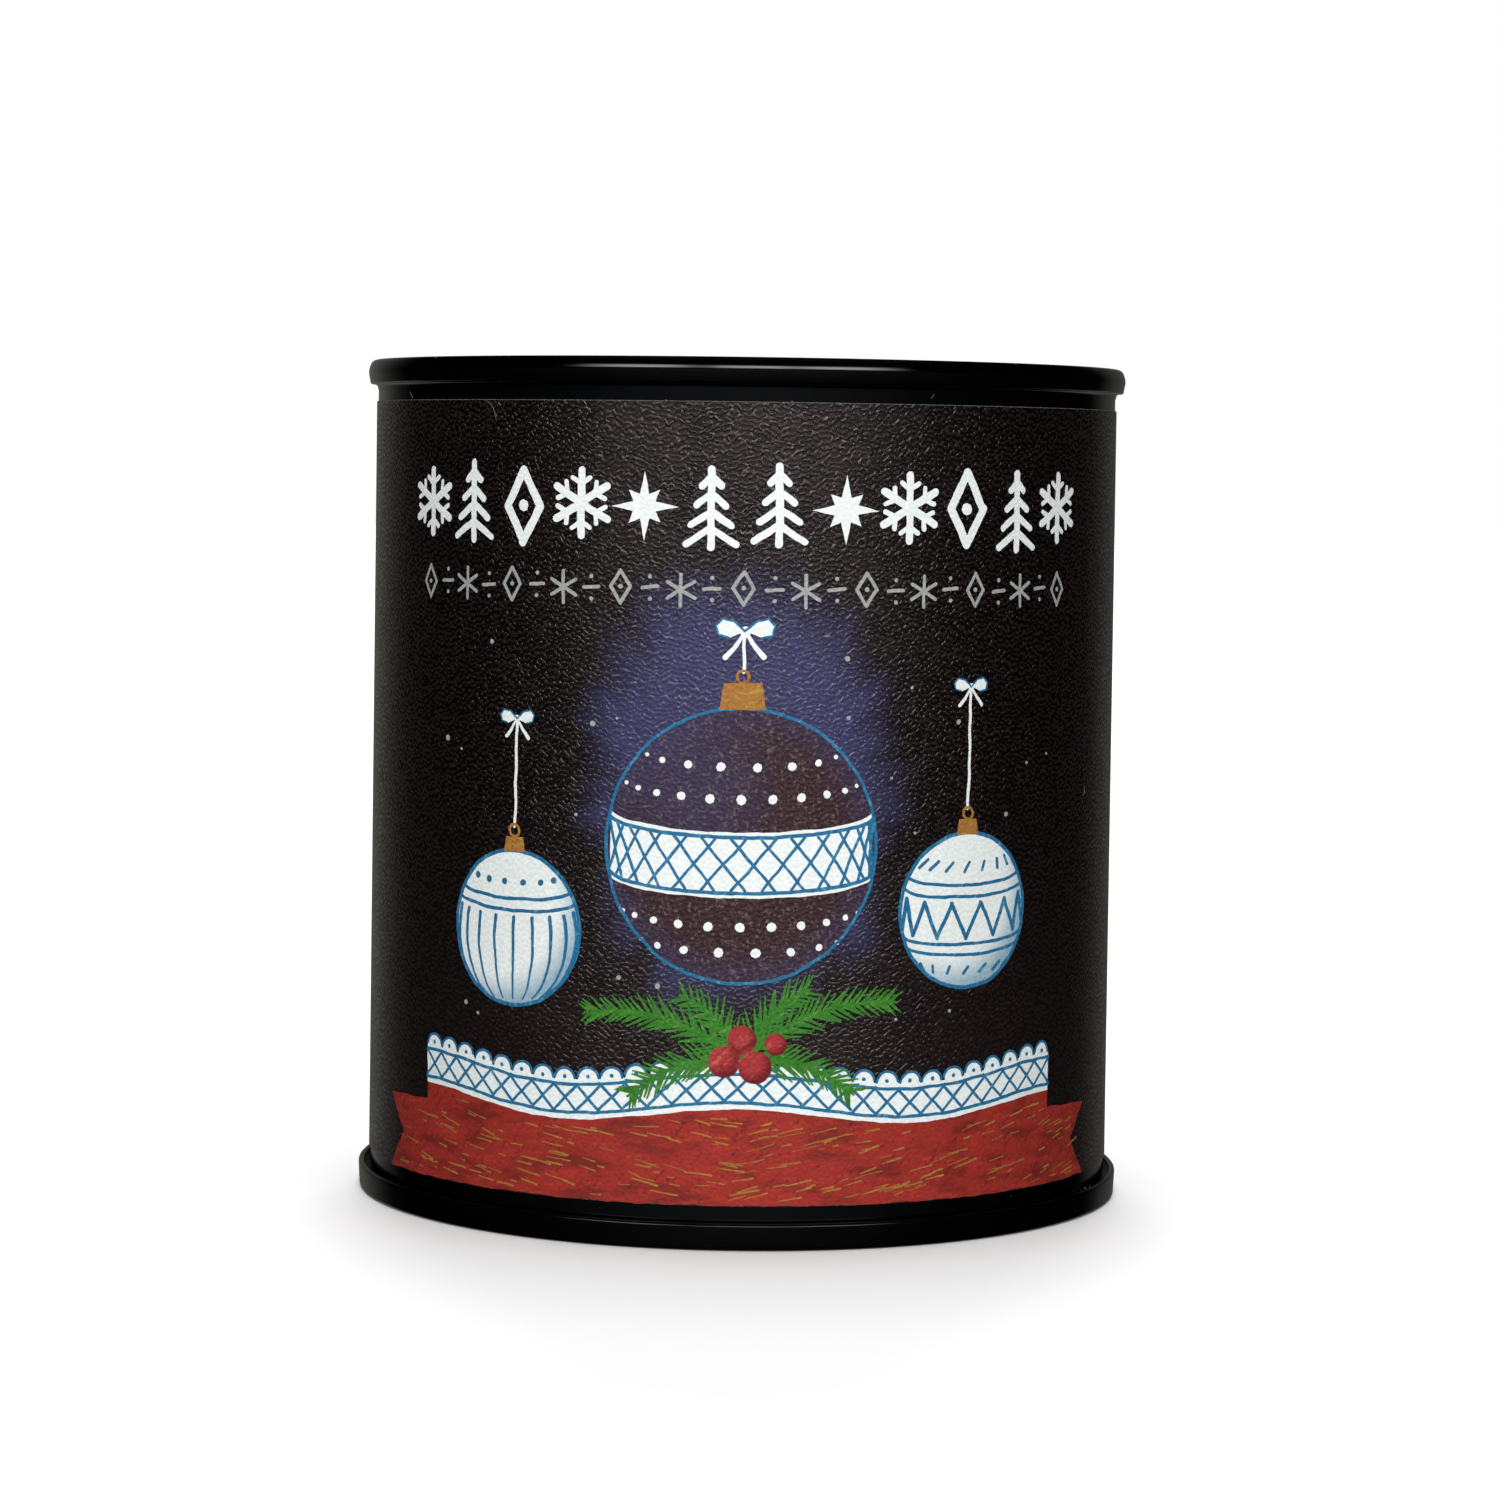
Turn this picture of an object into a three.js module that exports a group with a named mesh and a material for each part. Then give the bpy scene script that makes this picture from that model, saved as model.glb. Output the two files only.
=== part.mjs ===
// A shut, round lever-lid tin with a printed label wrapped round it.
//
// Millimetres, +Z up. The origin is the centre of the foot, where the tin stands, and the
// middle of the label's print faces -Y. Every piece but the label is turned about the Z axis:
// its profile is drawn with the radius to the right and the height upwards, and runs
// anticlockwise, from the underside by way of the outside to the top.

import * as THREE from "three";

// Driving dimensions
const TOTAL_HEIGHT = 81.5;
const BODY_RADIUS = 36.5;
const SHEET = 0.24; // thickness of the tinplate
const FIT_GAP = 0.03; // between pieces that touch in the real tin
const SEGMENTS = 64; // facets round the tin

const TOP_SEAM = {
  radius: 37.48,
  height: 2.36,
  widestDrop: 1.2, // widest place below the crown
  sideRadius: 1.5, // in the profile, round the widest place
  shoulderLean: 20, // degrees that the side leans inwards below the crown
  crownRadius: 0.65,
  lowerRadius: 37.29,
  fillet: 0.4,
};
const BOTTOM_SEAM = { radius: 37.65, height: 2.5, lip: 0.55, groove: 1.3, taper: 0.1, footCorner: 0.3 };
const CHUCK_RADIUS = 36; // inner wall of both seams
const SKIRT_HIDDEN = 1.4; // length of body wall that is folded into each seam

const CHANNEL = { depth: 3.5, innerRadius: 31.2, corner: 0.5 }; // between seam and lid
const LID = {
  rimRadius: 32.7,
  rimWall: 2.05, // across the rolled rim
  rimDrop: 1.1, // rim's crown below the seam's crown
  plugRadius: 30.9,
  panelDepth: 3.75, // panel below the rim's crown
  corner: 0.55,
  beadRadius: 25,
  beadWidth: 2.4,
  beadHeight: 0.45,
};

const BASE = {
  panelRecess: 2.6, // panel above the foot
  stepRadius: 21.5,
  stepWidth: 1,
  stepHeight: 0.35,
  countersinkRadius: 34.2,
  countersinkRise: 0.45,
  corner: 0.6,
};

const LABEL = { bottom: 3.95, top: 77.45, thickness: 0.12, lapWidth: 7 };

// Heights and radii that follow from them
const channelFloor = TOTAL_HEIGHT - CHANNEL.depth;
const lidCrown = TOTAL_HEIGHT - LID.rimDrop;
const lidPanel = lidCrown - LID.panelDepth;
const skirtInner = CHUCK_RADIUS + SHEET + FIT_GAP;
const topSkirtEnd = TOTAL_HEIGHT - TOP_SEAM.height + SKIRT_HIDDEN;
const bottomSkirtEnd = BOTTOM_SEAM.height - SKIRT_HIDDEN;
const countersink = BASE.panelRecess + BASE.stepHeight + BASE.countersinkRise;

const blackLacquer = () =>
  new THREE.MeshStandardMaterial({ color: 0x0a0a0a, roughness: 0.22, metalness: 0 });
const printedLabel = () =>
  new THREE.MeshStandardMaterial({ color: 0x1e1819, roughness: 0.5, metalness: 0 });

const at = (radius, height) => new THREE.Vector2(radius, height);

// Points on an arc of the profile, between two angles in degrees from the outward direction.
function arc(centreRadius, centreHeight, arcRadius, from, to, steps) {
  return Array.from({ length: steps + 1 }, (_, i) => {
    const angle = THREE.MathUtils.degToRad(from + ((to - from) * i) / steps);
    return at(
      centreRadius + arcRadius * Math.cos(angle),
      centreHeight + arcRadius * Math.sin(angle),
    );
  });
}

function named(name, geometry, material) {
  const mesh = new THREE.Mesh(geometry, material);
  mesh.name = name;
  return mesh;
}

// A turned piece: the lathe spins its profile about Y, and the quarter turn stands it on Z.
function turned(name, profile, material) {
  const geometry = new THREE.LatheGeometry(profile, SEGMENTS).rotateX(Math.PI / 2);
  return named(name, geometry, material);
}

// The body: the wall of the shut tin with its contents as one solid. The wall's edges reach
// into both seams as thin skirts.
function tinBody() {
  const underRing = channelFloor - SHEET - FIT_GAP;
  const underLid = lidPanel - SHEET - FIT_GAP;
  const floor = countersink + SHEET + FIT_GAP;
  return turned(
    "tin_body",
    [
      at(0, floor),
      at(skirtInner, floor),
      at(skirtInner, bottomSkirtEnd + FIT_GAP),
      at(BODY_RADIUS, bottomSkirtEnd + FIT_GAP),
      at(BODY_RADIUS, topSkirtEnd - FIT_GAP),
      at(skirtInner, topSkirtEnd - FIT_GAP),
      at(skirtInner, underRing),
      at(CHANNEL.innerRadius, underRing),
      at(CHANNEL.innerRadius, underLid),
      at(0, underLid),
    ],
    blackLacquer(),
  );
}

// The top ring: a double seam round the tin's edge that leans in above and below its widest
// place, the wall inside it, and the floor of the channel that the lid's rim stands in.
function topRing() {
  const { radius, height, widestDrop, sideRadius, shoulderLean, crownRadius, lowerRadius, fillet } =
    TOP_SEAM;
  const seamFoot = TOTAL_HEIGHT - height;
  const widest = TOTAL_HEIGHT - widestDrop;
  const lean = THREE.MathUtils.degToRad(shoulderLean);
  const shoulderStart = widest + sideRadius * Math.sin(lean);
  const shoulderEnd = TOTAL_HEIGHT - crownRadius * (1 - Math.sin(lean));
  const crown =
    radius -
    sideRadius * (1 - Math.cos(lean)) -
    (shoulderEnd - shoulderStart) * Math.tan(lean) -
    crownRadius * Math.cos(lean);
  const innerCrown = crown - CHUCK_RADIUS;
  const profile = [
    at(CHANNEL.innerRadius, channelFloor - SHEET),
    at(CHUCK_RADIUS + SHEET, channelFloor - SHEET),
    at(CHUCK_RADIUS + SHEET, topSkirtEnd),
    at(BODY_RADIUS + FIT_GAP, topSkirtEnd),
    ...arc(BODY_RADIUS + FIT_GAP + fillet, seamFoot - fillet, fillet, 180, 90, 3),
    at(lowerRadius, seamFoot + fillet / 4),
    ...arc(radius - sideRadius, widest, sideRadius, -9, shoulderLean, 3),
    ...arc(crown, TOTAL_HEIGHT - crownRadius, crownRadius, shoulderLean, 90, 5),
    ...arc(crown, TOTAL_HEIGHT - innerCrown, innerCrown, 90, 180, 3).slice(1),
    ...arc(CHUCK_RADIUS - CHANNEL.corner, channelFloor + CHANNEL.corner, CHANNEL.corner, 0, -90, 3),
    at(CHANNEL.innerRadius, channelFloor),
    at(CHANNEL.innerRadius, channelFloor - SHEET),
  ];
  return turned("top_ring", profile, blackLacquer());
}

// The lever lid: a plug in the ring's opening, a rolled rim that rests on the channel's floor,
// and a sunk panel with a stiffening bead.
function leverLid() {
  const rimFoot = channelFloor + FIT_GAP;
  const rimHalf = LID.rimWall / 2;
  const rimMiddle = LID.rimRadius - rimHalf;
  const plugInner = LID.rimRadius - LID.rimWall;
  const beadHalf = LID.beadWidth / 2;
  const beadSlope = LID.beadHeight;
  const profile = [
    at(0, lidPanel - SHEET),
    at(LID.plugRadius - LID.corner, lidPanel - SHEET),
    at(LID.plugRadius, lidPanel - SHEET + LID.corner),
    at(LID.plugRadius, rimFoot),
    ...arc(LID.rimRadius - LID.corner, rimFoot + LID.corner, LID.corner, -90, 0, 3),
    ...arc(rimMiddle, lidCrown - rimHalf, rimHalf, 0, 180, 8),
    ...arc(plugInner - LID.corner, lidPanel + LID.corner, LID.corner, 0, -90, 3),
    at(LID.beadRadius + beadHalf, lidPanel),
    at(LID.beadRadius + beadHalf - beadSlope, lidPanel + LID.beadHeight),
    at(LID.beadRadius - beadHalf + beadSlope, lidPanel + LID.beadHeight),
    at(LID.beadRadius - beadHalf, lidPanel),
    at(0, lidPanel),
  ];
  return turned("lever_lid", profile, blackLacquer());
}

// The bottom end: a stepped panel sunk above the foot, and a double seam that tapers towards the
// foot, with a rounded lip that stands off the body and an open groove behind it.
function bottomEnd() {
  const { radius, height, lip, groove, taper, footCorner } = BOTTOM_SEAM;
  const step = BASE.stepRadius + BASE.stepWidth;
  const middlePanel = BASE.panelRecess + BASE.stepHeight;
  const lipInner = radius - lip;
  const profile = [
    at(0, BASE.panelRecess),
    at(BASE.stepRadius, BASE.panelRecess),
    at(step, middlePanel),
    at(BASE.countersinkRadius - BASE.countersinkRise, middlePanel),
    at(BASE.countersinkRadius, countersink),
    ...arc(CHUCK_RADIUS - BASE.corner, countersink - BASE.corner, BASE.corner, 90, 0, 3),
    ...arc(CHUCK_RADIUS + footCorner, footCorner, footCorner, 180, 270, 3),
    ...arc(radius - taper - footCorner, footCorner, footCorner, -90, 0, 3),
    ...arc(radius - lip / 2, height - lip / 2, lip / 2, 0, 180, 6),
    at(lipInner - SHEET / 4, height - groove),
    at(BODY_RADIUS + FIT_GAP, height - groove),
    at(BODY_RADIUS + FIT_GAP, bottomSkirtEnd),
    at(CHUCK_RADIUS + SHEET, bottomSkirtEnd),
    at(CHUCK_RADIUS + SHEET, countersink - BASE.corner + SHEET),
    at(CHUCK_RADIUS - BASE.corner, countersink + SHEET),
    at(BASE.countersinkRadius - SHEET, countersink + SHEET),
    at(BASE.countersinkRadius - BASE.countersinkRise - SHEET, middlePanel + SHEET),
    at(step - SHEET, middlePanel + SHEET),
    at(BASE.stepRadius - SHEET, BASE.panelRecess + SHEET),
    at(0, BASE.panelRecess + SHEET),
  ];
  return turned("bottom_end", profile, blackLacquer());
}

// The label: one sheet wrapped round the body, its end lapped over its start at the back.
function label() {
  const inner = BODY_RADIUS + FIT_GAP;
  const outer = inner + LABEL.thickness;
  const lapHalf = LABEL.lapWidth / 2 / outer; // half angle of the lap, which is centred on +Y
  const back = Math.PI / 2;
  const onCircle = (radius, angle) => [radius * Math.cos(angle), radius * Math.sin(angle)];
  const facet = (2 * Math.PI) / SEGMENTS;
  const angles = Array.from({ length: SEGMENTS }, (_, i) => i * facet);
  const clear = angles.filter((angle) => Math.abs(angle - back) > lapHalf);
  const lapped = angles.filter((angle) => Math.abs(angle - back) <= lapHalf);
  const edges = [back - lapHalf, back + lapHalf];
  const outline = [
    ...clear.map((angle) => ({ angle, radius: outer })),
    ...lapped.map((angle) => ({ angle, radius: outer + LABEL.thickness })),
    { angle: edges[0] - facet / 100, radius: outer },
    ...edges.map((angle) => ({ angle, radius: outer + LABEL.thickness })),
    { angle: edges[1] + facet / 100, radius: outer },
  ].sort((a, b) => a.angle - b.angle);
  const sheet = new THREE.Shape(
    outline.map(({ angle, radius }) => new THREE.Vector2(...onCircle(radius, angle))),
  );
  sheet.holes.push(
    new THREE.Path(angles.map((angle) => new THREE.Vector2(...onCircle(inner, angle)))),
  );
  const geometry = new THREE.ExtrudeGeometry(sheet, {
    depth: LABEL.top - LABEL.bottom,
    bevelEnabled: false,
  }).translate(0, 0, LABEL.bottom);
  return named("label", geometry, printedLabel());
}

const tin = new THREE.Group();
tin.name = "labelled_lever_lid_tin";
tin.add(tinBody(), topRing(), leverLid(), bottomEnd(), label());

export default tin;
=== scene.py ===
"""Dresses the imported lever-lid tin: turned metalwork, a leather-grain label and its inks."""

import math
import random
from collections import namedtuple
from math import cos, pi, radians, sin

import bmesh
import bpy
from bpy.props import FloatProperty, FloatVectorProperty, IntProperty, PointerProperty
from mathutils import Matrix, Vector, noise


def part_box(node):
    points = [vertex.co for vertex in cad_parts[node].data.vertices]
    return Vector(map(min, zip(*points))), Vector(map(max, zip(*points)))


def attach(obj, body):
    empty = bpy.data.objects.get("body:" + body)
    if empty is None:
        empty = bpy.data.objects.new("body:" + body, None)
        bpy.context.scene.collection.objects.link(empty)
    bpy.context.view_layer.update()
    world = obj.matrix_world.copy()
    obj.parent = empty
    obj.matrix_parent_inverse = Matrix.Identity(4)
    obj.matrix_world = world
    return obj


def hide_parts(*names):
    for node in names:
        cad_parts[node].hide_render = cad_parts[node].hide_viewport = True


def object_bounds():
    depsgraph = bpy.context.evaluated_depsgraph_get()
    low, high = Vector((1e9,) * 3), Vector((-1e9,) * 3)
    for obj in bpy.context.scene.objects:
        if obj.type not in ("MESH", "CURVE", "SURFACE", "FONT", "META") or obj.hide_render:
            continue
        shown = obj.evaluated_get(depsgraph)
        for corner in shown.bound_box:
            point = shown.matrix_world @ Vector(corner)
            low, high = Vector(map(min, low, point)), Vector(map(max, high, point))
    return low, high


bl_info = {
    "name": "Lever-lid tin",
    "version": (1, 0, 0),
    "blender": (4, 5, 0),
    "location": "3D View > Sidebar > Tin",
    "description": "Builds the visible pieces of a shut lever-lid tin with a printed label",
    "category": "Object",
}

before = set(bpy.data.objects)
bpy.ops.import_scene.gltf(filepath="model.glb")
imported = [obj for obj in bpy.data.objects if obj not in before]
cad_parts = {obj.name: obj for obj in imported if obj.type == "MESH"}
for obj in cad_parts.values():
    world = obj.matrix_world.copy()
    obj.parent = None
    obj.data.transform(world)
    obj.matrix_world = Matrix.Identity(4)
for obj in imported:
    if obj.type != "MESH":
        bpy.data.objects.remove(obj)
CAD_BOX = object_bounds()
MM = 0.001

BODY_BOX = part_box("tin_body")
LABEL_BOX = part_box("label")
TOTAL_HEIGHT = CAD_BOX[1].z / MM

# Lengths in millimetres.
SHEET = 0.24  # tinplate
FIT_GAP = 0.03
CLINCH = 1.4  # how far the body's skirts reach into the seams
CHUCK_RADIUS = 36.0  # inner wall of both seams
CHANNEL_FLOOR = TOTAL_HEIGHT - 3.5
CHANNEL_INNER = 31.2
LID_CROWN = TOTAL_HEIGHT - 1.1
LID_PANEL = LID_CROWN - 3.75
LID_PLUG = 30.9  # outside of the lid's wall below its rim
LID_RIM = 32.7
PANEL_RECESS = 2.6  # bottom panel above the foot
PANEL_STEP = 0.35
PANEL_RADII = (21.5, 22.5, 33.75, 34.2)  # bends of the bottom panel
COUNTERSINK = 3.4
LIP_DEPTH = 1.3  # of the open slot in the bottom seam
LAP_WIDTH = 7.0
LAP_RAMP = 1.6
LAP_CUT = 0.02  # blunt end of the sheet
LABEL_CHAMFER = 0.05

LACQUER_IOR = 1.56
DULL_LACQUER_IOR = 1.44
LABEL_IOR = 1.74  # film included
INK_IOR = 1.48
PAPER_IOR = 1.45
FIBRE_IOR = 1.5
FLOOR_IOR = 1.3
FILM_ROUGHNESS = 0.2


# --- settings ---


def length(name, description, default):
    """A length property in metres, from a default in millimetres."""
    settings = {"name": name, "description": description, "default": default * MM}
    return FloatProperty(min=0, unit="LENGTH", precision=5, **settings)


def colour(name, description, default):
    """A linear colour property."""
    settings = {"name": name, "description": description, "default": default}
    return FloatVectorProperty(size=3, min=0, max=1, subtype="COLOR", **settings)


def amount(name, description, default, top=1.0):
    """A plain number from 0 to top."""
    return FloatProperty(name=name, description=description, default=default, min=0, max=top)


def light(name, lit, default, top):
    """The brightness of a light."""
    return amount(name, f"Brightness of {lit}", default, top)


class TinMetal(bpy.types.PropertyGroup):
    """Measures and finish of the turned metal"""

    body_radius: length("Body radius", "Outside of the bare body", BODY_BOX[1].x / MM)
    top_seam_radius: length("Top seam radius", "Widest part of the top seam", 37.48)
    bottom_seam_radius: length(
        "Bottom seam radius", "Widest part of the bottom seam", CAD_BOX[1].x / MM
    )
    top_seam_height: length("Top seam height", "From the seam's lower edge to its crown", 2.36)
    bottom_seam_height: length("Bottom seam height", "From the foot to the seam's lip", 2.5)
    waver: length("Seam waver", "How much the rolled edges wander", 0.045)
    columns: IntProperty(
        name="Columns", description="Faces round each turned piece", default=288, min=48
    )
    lacquer: colour("Lacquer", "Black stoving lacquer", (0.0002, 0.0002, 0.0002))
    gloss: amount("Lacquer roughness", "Roughness of the clean lacquer", 0.09)


class TinLabel(bpy.types.PropertyGroup):
    """Measures, grain and finish of the label sheet"""

    bottom: length("Bottom edge", "Height of the label's lower edge", LABEL_BOX[0].z / MM)
    top: length("Top edge", "Height of the label's upper edge", LABEL_BOX[1].z / MM)
    thickness: length("Thickness", "Thickness of the sheet", 0.12)
    radius: length("Radius", "Outside of the sheet away from its lap", 36.65)
    grain_size: length("Grain size", "Width of one pebble of the pressed grain", 0.5)
    grain_depth: length("Grain depth", "Height of the pressed grain", 0.042)
    sheet_colour: colour("Sheet", "Dark brown-black of the sheet", (0.0062, 0.0039, 0.0039))
    satin: amount("Sheet roughness", "Roughness of the satin sheet", 0.23)


class TinInks(bpy.types.PropertyGroup):
    """Main tones of the inks"""

    white: colour("White", "Chalky white ink", (0.79, 0.84, 0.825))
    silver: colour("Fine line", "Thinner white of the small row", (0.33, 0.34, 0.33))
    blue: colour("Blue", "Crayon blue", (0.016, 0.135, 0.27))
    violet: colour("Violet", "Glow behind the middle bauble", (0.041, 0.041, 0.108))
    plum: colour("Plum", "Middle bauble", (0.026, 0.009, 0.011))
    red: colour("Red", "Ribbon", (0.30, 0.026, 0.02))
    gold: colour("Gold", "Dashes and caps", (0.34, 0.15, 0.035))
    green: colour("Green", "Fir needles", (0.033, 0.165, 0.018))
    berry: colour("Berry", "Berries", (0.34, 0.03, 0.032))
    waver: length("Hand waver", "How far the hand-drawn edges wander", 0.11)


class TinStudio(bpy.types.PropertyGroup):
    """Lights and floor"""

    key: light("Key light", "the front light on the print", 7.2, 50)
    window: light("Front window", "the front window that the gloss mirrors", 5.6, 50)
    overhead: light("Overhead light", "the soft light on the floor from above", 3.08, 20)
    rear: light("Rear light", "the soft light on the floor from behind", 1.73, 20)
    fill: amount("Fill", "Even light from all round", 0.1, 5)
    floor_colour: colour("Floor", "Pale floor", (0.93, 0.93, 0.93))


# --- shader expressions ---


class Value:
    """A socket of a material that stands in a Python expression."""

    def __init__(self, recipe, socket):
        self.recipe = recipe
        self.socket = socket

    def output(self, name):
        """Another output of the same node."""
        return Value(self.recipe, self.socket.node.outputs[name])

    def math(self, operation, other=None, swap=False):
        """One operation of the Math node on this value alone or with another."""
        values = [self] if other is None else [self, other]
        if swap:
            values.reverse()
        return self.recipe.node("ShaderNodeMath", {"operation": operation}, dict(enumerate(values)))

    def __add__(self, other):
        return self.math("ADD", other)

    def __sub__(self, other):
        return self.math("SUBTRACT", other)

    def __rsub__(self, other):
        return self.math("SUBTRACT", other, swap=True)

    def __mul__(self, other):
        return self.math("MULTIPLY", other)

    def __truediv__(self, other):
        return self.math("DIVIDE", other)

    def __pow__(self, other):
        return self.math("POWER", other)

    __radd__ = __add__
    __rmul__ = __mul__

    def between(self, low, high):
        """0 below low, 1 above high, and smooth in between; low may be the higher of the two."""
        settings = {"interpolation_type": "SMOOTHSTEP"}
        return self.recipe.node("ShaderNodeMapRange", settings, {0: self, 1: low, 2: high})


class Recipe:
    """Builds the nodes of a material or a world."""

    def __init__(self, owner):
        owner.use_nodes = True
        self.owner = owner
        self.tree = owner.node_tree
        self.tree.nodes.clear()

    def node(self, kind, settings=None, inputs=None, output=0):
        """Adds a node, sets it up, feeds its sockets and gives one of its outputs."""
        made = self.tree.nodes.new(kind)
        for key, value in (settings or {}).items():
            setattr(made, key, value)
        for key, value in (inputs or {}).items():
            socket = made.inputs[key]
            if isinstance(value, Value):
                self.tree.links.new(value.socket, socket)
            elif socket.type == "RGBA":
                socket.default_value = (*value, 1)
            else:
                socket.default_value = value
        return Value(self, made.outputs[output]) if made.outputs else None

    def blend(self, mask, first, second):
        """Colour that goes from first to second where the mask goes from 0 to 1."""
        settings = {"data_type": "RGBA"}
        return self.node("ShaderNodeMix", settings, {0: mask, 6: first, 7: second}, output=2)

    def place(self):
        """Where a point of the object lies, in millimetres."""
        inputs = {0: self.node("ShaderNodeTexCoord", output=3), "Scale": 1 / MM}
        return self.node("ShaderNodeVectorMath", {"operation": "SCALE"}, inputs)

    def stretched(self, place, factors):
        """A place with each of its coordinates multiplied."""
        return self.node("ShaderNodeVectorMath", {"operation": "MULTIPLY"}, {0: place, 1: factors})

    def split(self, vector):
        """The three coordinates of a vector."""
        axes = self.node("ShaderNodeSeparateXYZ", {}, {0: vector})
        return [axes.output(name) for name in "XYZ"]

    def joined(self, *coordinates):
        """A vector of its coordinates."""
        return self.node("ShaderNodeCombineXYZ", {}, dict(enumerate(coordinates)))

    def cloud(self, place, wavelength, detail=2.0, roughness=0.5):
        """Soft noise round 0.5 whose lumps are about a wavelength apart."""
        inputs = {"Vector": place, "Scale": 1 / wavelength}
        inputs.update({"Detail": detail, "Roughness": roughness})
        return self.node("ShaderNodeTexNoise", {}, inputs)

    def cells(self, place, size):
        """Distance from the middles of scattered cells."""
        return self.node("ShaderNodeTexVoronoi", {}, {"Vector": place, "Scale": 1 / size})

    def surface(self, base, roughness, relief, ior, film=0.0, gloss_tint=(1.0, 1.0, 1.0)):
        """The finished material: its relief is in millimetres, and a film of varnish lies on it."""
        bump = self.node("ShaderNodeBump", {}, {"Strength": 1.0, "Distance": MM, "Height": relief})
        inputs = {"Base Color": base, "Roughness": roughness, "IOR": ior, "Normal": bump}
        inputs.update({"Coat Weight": film, "Coat Roughness": FILM_ROUGHNESS})
        inputs["Specular Tint"] = gloss_tint
        shader = self.node("ShaderNodeBsdfPrincipled", {}, inputs)
        self.node("ShaderNodeOutputMaterial", {}, {"Surface": shader})
        return self.owner


def new_recipe(name):
    """The recipe of a new material, and the place of a point that it starts from."""
    mix = Recipe(bpy.data.materials.new(name))
    return mix, mix.place()


def shared(maker):
    """Makes a material once and hands the same one out again."""
    made = {}

    def get(*arguments):
        if arguments not in made:
            made[arguments] = maker(*arguments)
        return made[arguments]

    return get


# --- finishes ---


@shared
def black_lacquer(name, ior):
    """Gloss black stoving lacquer: orange peel, faint smears and a little dust."""
    metal = bpy.context.scene.tin_metal
    mix, place = new_recipe(name)
    peel = mix.cloud(place, 1.9, 1.0)
    ripple = mix.cloud(place, 9.0, 1.0)
    smear = mix.cloud(mix.stretched(place, (1, 1, 2.6)), 7.5, 3.0, 0.62).between(0.47, 0.72)
    speck = mix.cells(place, 2.6).between(0.035, 0.018)
    strewn = mix.cloud(place, 5.5, 1.0).between(0.52, 0.6)
    dust = speck * strewn
    base = mix.blend(smear * 0.5, metal.lacquer, (0.0009, 0.0009, 0.0008))
    base = mix.blend(dust * 0.3, base, (0.09, 0.088, 0.08))
    height = mix.split(place)[2]
    rubbed = height.between(2.7, 1.9) * (0.7 + mix.cloud(place, 1.2, 3.0, 0.7) * 0.6)
    roughness = metal.gloss + smear * 0.035 + dust * 0.2 + rubbed * 0.08
    return mix.surface(base, roughness, peel * 0.0028 + ripple * 0.012 + dust * 0.004, ior)


def pressed_grain(mix, place):
    """The label's leather grain: a share from its valleys to its ridges, and its height in mm.

    It is a sum of waves in four directions, each pushed about by its own slow noise. The count
    of waves round the tin is whole, so that the grain closes on itself at the back.
    """
    label = bpy.context.scene.tin_label
    measures = (label.grain_size, label.grain_depth, label.radius)
    size, depth, radius = (measure / MM for measure in measures)
    along, up = unrolled(mix, place)
    depth = up.between(-10, 62) * (0.55 * depth) + 0.45 * depth  # flatter towards the foot
    inputs = {"Vector": place, "Scale": 0.32 / size, "Detail": 0.0}
    first, second, third = mix.split(mix.node("ShaderNodeTexNoise", {}, inputs, 1))
    mixed = (first + second + third) * 0.58
    waves = ((74, 1.0, first), (106, 1.0, second), (136, 0.75, third), (44, 0.75, mixed))
    worms = mix.cloud(place, size * 0.95, 0.0) * 4.6 - 2.3
    turns = 2 * pi / size
    for angle, strength, phase in waves:
        turn = radians(angle)
        around = round(turns * cos(turn) * radius) / radius
        crest = along * around + up * (turns * sin(turn)) + phase * 12
        worms = crest.math("SINE") * strength + worms
    worms = worms.between(-0.7, 1.4)
    rise = mix.cloud(place, size * 6, 1.0)
    return worms, worms * depth * (rise * 0.6 + 0.7)


def unrolled(mix, place):
    """Distances along the label from the middle of its print, and up from its lower edge."""
    label = bpy.context.scene.tin_label
    x, y, z = mix.split(place)
    along = x.math("ARCTAN2", y * -1) * (label.radius / MM)
    return along, z - label.bottom / MM


def away_from(along, up, centre, stretch=(1.0, 1.0)):
    """Distance from a point of the unrolled label, with each direction stretched."""
    across = (along - centre[0]) * stretch[0]
    upward = (up - centre[1]) * stretch[1]
    return (across * across + upward * upward) ** 0.5


def pencil(mix, along, up, angle, fineness, seed):
    """Strokes of a crayon drawn at an angle: soft noise drawn out along it."""
    turn = radians(angle)
    with_it = (along * cos(turn) + up * sin(turn)) * (0.22 * fineness)
    across_it = (up * cos(turn) - along * sin(turn)) * (1.9 * fineness)
    return mix.cloud(mix.joined(with_it, across_it, seed), 1.0, 3.0, 0.6)


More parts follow.
